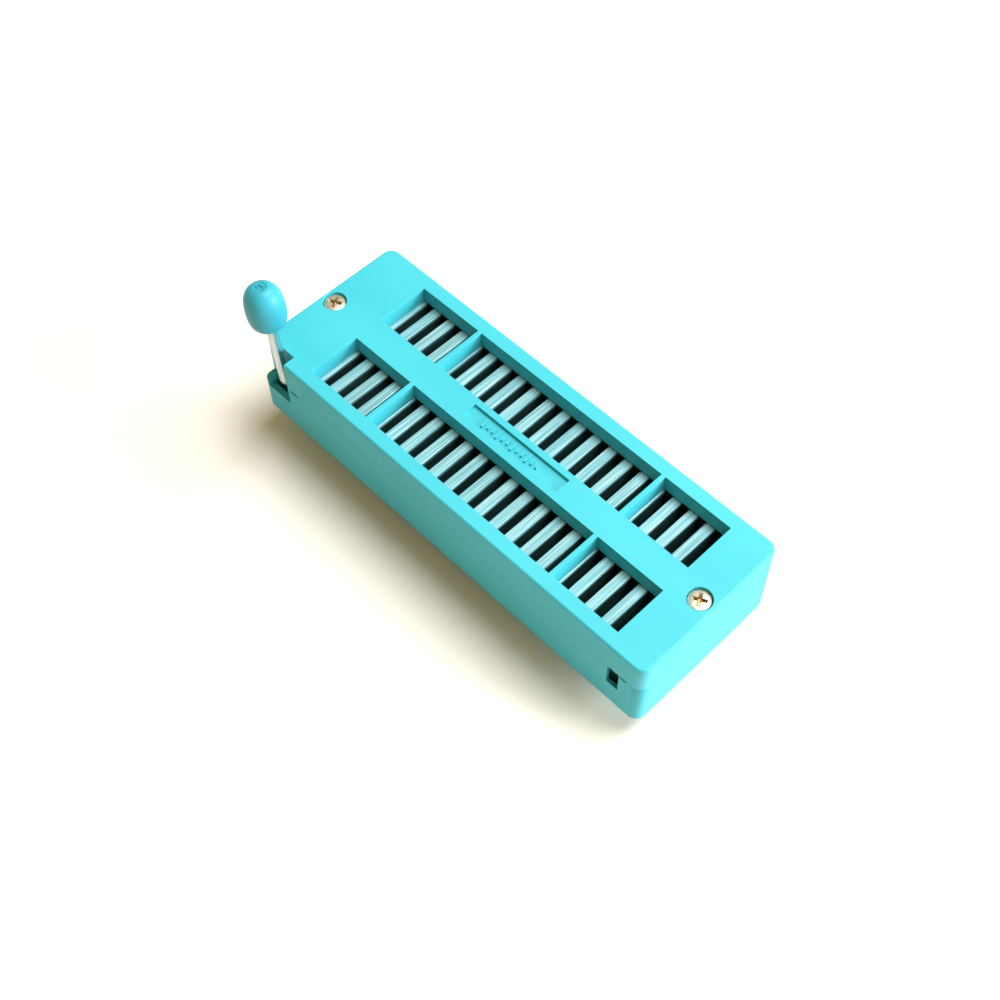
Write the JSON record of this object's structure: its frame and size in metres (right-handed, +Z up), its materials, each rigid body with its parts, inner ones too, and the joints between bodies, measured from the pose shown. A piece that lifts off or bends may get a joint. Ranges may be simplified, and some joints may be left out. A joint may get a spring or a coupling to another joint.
{
  "type": "zero insertion force chip socket",
  "caption": "Lever-operated zero-insertion-force socket for dual-in-line chips, with two rows of sprung contacts and a sliding comb driven by a bent-wire crank.",
  "frame": {"origin": "centre of the contact field on the underside of the base, the face that seats on a circuit board", "axes": "+X along the contact rows away from the lever end, +Y from the lever side to the far side, +Z up out of the socket"},
  "size_m": [0.0646, 0.0243, 0.0267],
  "materials": {
    "housing_plastic": "satin",
    "knob_plastic": "semi-gloss",
    "slider_plastic": "matte",
    "lever_steel": "nickel plated",
    "screw_metal": "nickel plated",
    "contact_metal": "tin plated"
  },
  "bodies": {
    "housing": {"base": "housing_plastic", "cover": "housing_plastic", "cover_screw_left": "screw_metal", "cover_screw_right": "screw_metal", "contact_front_01": "contact_metal", "contact_front_02": "contact_metal", "contact_front_03": "contact_metal", "contact_front_04": "contact_metal", "contact_front_05": "contact_metal", "contact_front_06": "contact_metal", "contact_front_07": "contact_metal", "contact_front_08": "contact_metal", "contact_front_09": "contact_metal", "contact_front_10": "contact_metal", "contact_front_11": "contact_metal", "contact_front_12": "contact_metal", "contact_front_13": "contact_metal", "contact_front_14": "contact_metal", "contact_front_15": "contact_metal", "contact_front_16": "contact_metal", "contact_front_17": "contact_metal", "contact_front_18": "contact_metal", "contact_front_19": "contact_metal", "contact_front_20": "contact_metal", "contact_back_01": "contact_metal", "contact_back_02": "contact_metal", "contact_back_03": "contact_metal", "contact_back_04": "contact_metal", "contact_back_05": "contact_metal", "contact_back_06": "contact_metal", "contact_back_07": "contact_metal", "contact_back_08": "contact_metal", "contact_back_09": "contact_metal", "contact_back_10": "contact_metal", "contact_back_11": "contact_metal", "contact_back_12": "contact_metal", "contact_back_13": "contact_metal", "contact_back_14": "contact_metal", "contact_back_15": "contact_metal", "contact_back_16": "contact_metal", "contact_back_17": "contact_metal", "contact_back_18": "contact_metal", "contact_back_19": "contact_metal", "contact_back_20": "contact_metal"},
    "lever": {"lever_rod": "lever_steel", "lever_knob": "knob_plastic"},
    "slider": {"slider": "slider_plastic"}
  },
  "joints": [
    {"name": "lever_hinge", "type": "hinge", "parent": "housing", "child": "lever", "pos_m": [-0.0299, -0.0105, 0.0065], "axis": [0, -1, 0], "range_deg": [0, 80]},
    {"name": "slider_travel", "type": "slide", "parent": "housing", "child": "slider", "axis": [-1, 0, 0], "range_m": [0, 0.0009], "deforming": ["contact_front_01", "contact_front_02", "contact_front_03", "contact_front_04", "contact_front_05", "contact_front_06", "contact_front_07", "contact_front_08", "contact_front_09", "contact_front_10", "contact_front_11", "contact_front_12", "contact_front_13", "contact_front_14", "contact_front_15", "contact_front_16", "contact_front_17", "contact_front_18", "contact_front_19", "contact_front_20", "contact_back_01", "contact_back_02", "contact_back_03", "contact_back_04", "contact_back_05", "contact_back_06", "contact_back_07", "contact_back_08", "contact_back_09", "contact_back_10", "contact_back_11", "contact_back_12", "contact_back_13", "contact_back_14", "contact_back_15", "contact_back_16", "contact_back_17", "contact_back_18", "contact_back_19", "contact_back_20"]}
  ],
  "couplings": [
    {"joint": "lever_hinge", "follows": "slider_travel", "rad_per_m": 1551.4}
  ]
}
